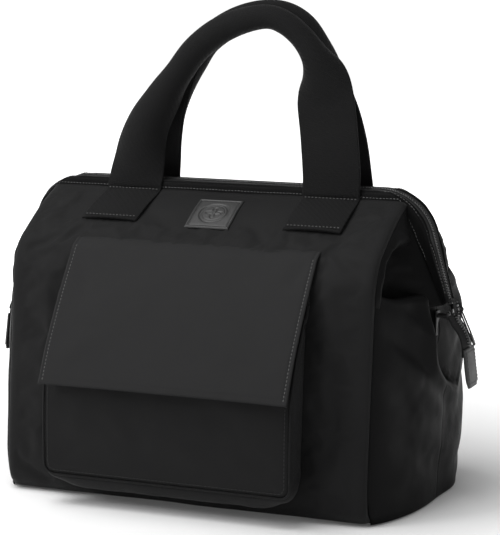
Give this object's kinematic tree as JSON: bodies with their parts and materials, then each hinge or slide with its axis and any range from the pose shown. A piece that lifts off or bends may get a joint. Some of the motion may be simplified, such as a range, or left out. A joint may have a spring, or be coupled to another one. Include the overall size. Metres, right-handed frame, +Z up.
{
  "type": "wide-mouth tote bag",
  "caption": "Soft black nylon tote with a wire-framed wide mouth, zip over the top, webbing handles and a flap pocket on the front.",
  "frame": {"origin": "centre of the underside, where the bag stands", "axes": "+X to the bag's right as seen from the front, -Y out of the front with the flap pocket, +Z up"},
  "size_m": [0.4302, 0.2622, 0.4015],
  "materials": {
    "shell_cloth": "matte black woven nylon, lightly padded",
    "gusset_cloth": "softer black nylon with a faint sheen",
    "webbing": "black twill webbing",
    "zip_tape": "black woven zip tape",
    "zip_teeth": "bright metal teeth",
    "lining": "plain grey lining",
    "board": "stiff base board",
    "leather_patch": "charcoal leather with an embossed ring",
    "leather_tab": "black stitched leather",
    "dark_metal": "dark plated metal",
    "bright_metal": "satin plated metal",
    "wire_steel": "plain spring steel wire"
  },
  "bodies": {
    "base": {"base_panel": "shell_cloth", "base_board": "board", "base_lining": "lining", "gusset_left": "gusset_cloth", "gusset_right": "gusset_cloth", "pivot_pin_left": "dark_metal", "pivot_pin_right": "dark_metal"},
    "front_wall": {"front_panel": "shell_cloth", "front_lining": "lining", "pocket_front": "shell_cloth", "pocket_side_left": "shell_cloth", "pocket_side_right": "shell_cloth", "pocket_floor": "shell_cloth", "pocket_magnet": "dark_metal", "front_tuck_left": "gusset_cloth", "front_tuck_right": "gusset_cloth"},
    "flap": {"flap_outer": "shell_cloth", "flap_lining": "lining", "flap_magnet": "dark_metal"},
    "front_top": {"front_roof": "shell_cloth", "front_tab_left": "webbing", "front_tab_right": "webbing", "patch": "leather_patch", "patch_mark": "leather_patch"},
    "front_grip": {"front_handle": "webbing"},
    "front_frame": {"front_wire": "wire_steel", "front_sleeve": "gusset_cloth", "front_fan_left": "gusset_cloth", "front_fan_right": "gusset_cloth", "front_zip_tape": "zip_tape", "front_zip_teeth": "zip_teeth"},
    "rear_wall": {"rear_panel": "shell_cloth", "rear_lining": "lining", "inner_pocket": "lining", "rear_tuck_left": "gusset_cloth", "rear_tuck_right": "gusset_cloth"},
    "rear_top": {"rear_roof": "shell_cloth", "rear_tab_left": "webbing", "rear_tab_right": "webbing"},
    "rear_grip": {"rear_handle": "webbing"},
    "rear_frame": {"rear_wire": "wire_steel", "rear_sleeve": "gusset_cloth", "rear_fan_left": "gusset_cloth", "rear_fan_right": "gusset_cloth", "rear_zip_tape": "zip_tape", "rear_zip_teeth": "zip_teeth"},
    "zip_left": {"slider_left": "dark_metal"},
    "zip_right": {"slider_right": "dark_metal"},
    "pull_left": {"puller_left": "bright_metal"},
    "pull_right": {"puller_right": "bright_metal"},
    "tail_left": {"tail_tape_left": "zip_tape", "tail_tab_left": "leather_tab"},
    "tail_right": {"tail_tape_right": "zip_tape", "tail_tab_right": "leather_tab"}
  },
  "joints": [
    {"name": "mouth_front", "type": "hinge", "parent": "base", "child": "front_frame", "pos_m": [0, 0, 0.155], "axis": [1, 0, 0], "range_deg": [0, 35]},
    {"name": "mouth_rear", "type": "hinge", "parent": "base", "child": "rear_frame", "pos_m": [0, 0, 0.155], "axis": [-1, 0, 0], "range_deg": [0, 35]},
    {"name": "wall_front", "type": "hinge", "parent": "base", "child": "front_wall", "pos_m": [0, -0.097, 0], "axis": [1, 0, 0], "range_deg": [0, 17]},
    {"name": "wall_rear", "type": "hinge", "parent": "base", "child": "rear_wall", "pos_m": [0, 0.097, 0], "axis": [-1, 0, 0], "range_deg": [0, 17]},
    {"name": "shoulder_front", "type": "hinge", "parent": "front_wall", "child": "front_top", "pos_m": [0, -0.079, 0.214], "axis": [-1, 0, 0], "range_deg": [0, 33]},
    {"name": "shoulder_rear", "type": "hinge", "parent": "rear_wall", "child": "rear_top", "pos_m": [0, 0.079, 0.214], "axis": [1, 0, 0], "range_deg": [0, 33]},
    {"name": "pocket_flap", "type": "hinge", "parent": "front_wall", "child": "flap", "pos_m": [0, -0.0795, 0.2148], "axis": [-1, 0, 0], "range_deg": [0, 130]},
    {"name": "handle_front", "type": "hinge", "parent": "front_top", "child": "front_grip", "pos_m": [0, -0.0205, 0.2505], "axis": [-1, 0, 0], "range_deg": [-100, 0]},
    {"name": "handle_rear", "type": "hinge", "parent": "rear_top", "child": "rear_grip", "pos_m": [0, 0.0205, 0.2505], "axis": [1, 0, 0], "range_deg": [-100, 0]},
    {"name": "zip_left_slide", "type": "slide", "parent": "base", "child": "zip_left", "axis": [-0.2079, 0, -0.9781], "range_m": [-0.05, 0]},
    {"name": "puller_left", "type": "hinge", "parent": "zip_left", "child": "pull_left", "pos_m": [-0.2015, 0, 0.16196], "axis": [0, 1, 0], "range_deg": [0, 120]},
    {"name": "tail_left", "type": "hinge", "parent": "base", "child": "tail_left", "pos_m": [-0.1982, 0, 0.1526], "axis": [0, 1, 0], "range_deg": [-20, 0]},
    {"name": "zip_right_slide", "type": "slide", "parent": "base", "child": "zip_right", "axis": [0.2079, 0, -0.9781], "range_m": [-0.05, 0]},
    {"name": "puller_right", "type": "hinge", "parent": "zip_right", "child": "pull_right", "pos_m": [0.2015, 0, 0.16196], "axis": [0, -1, 0], "range_deg": [0, 120]},
    {"name": "tail_right", "type": "hinge", "parent": "base", "child": "tail_right", "pos_m": [0.1982, 0, 0.1526], "axis": [0, -1, 0], "range_deg": [-20, 0]}
  ],
  "couplings": [
    {"joint": "mouth_rear", "follows": "mouth_front", "ratio": 1},
    {"joint": "wall_front", "follows": "mouth_front", "ratio": 0.47},
    {"joint": "wall_rear", "follows": "mouth_front", "ratio": 0.47},
    {"joint": "shoulder_front", "follows": "mouth_front", "ratio": 0.935},
    {"joint": "shoulder_rear", "follows": "mouth_front", "ratio": 0.935}
  ]
}
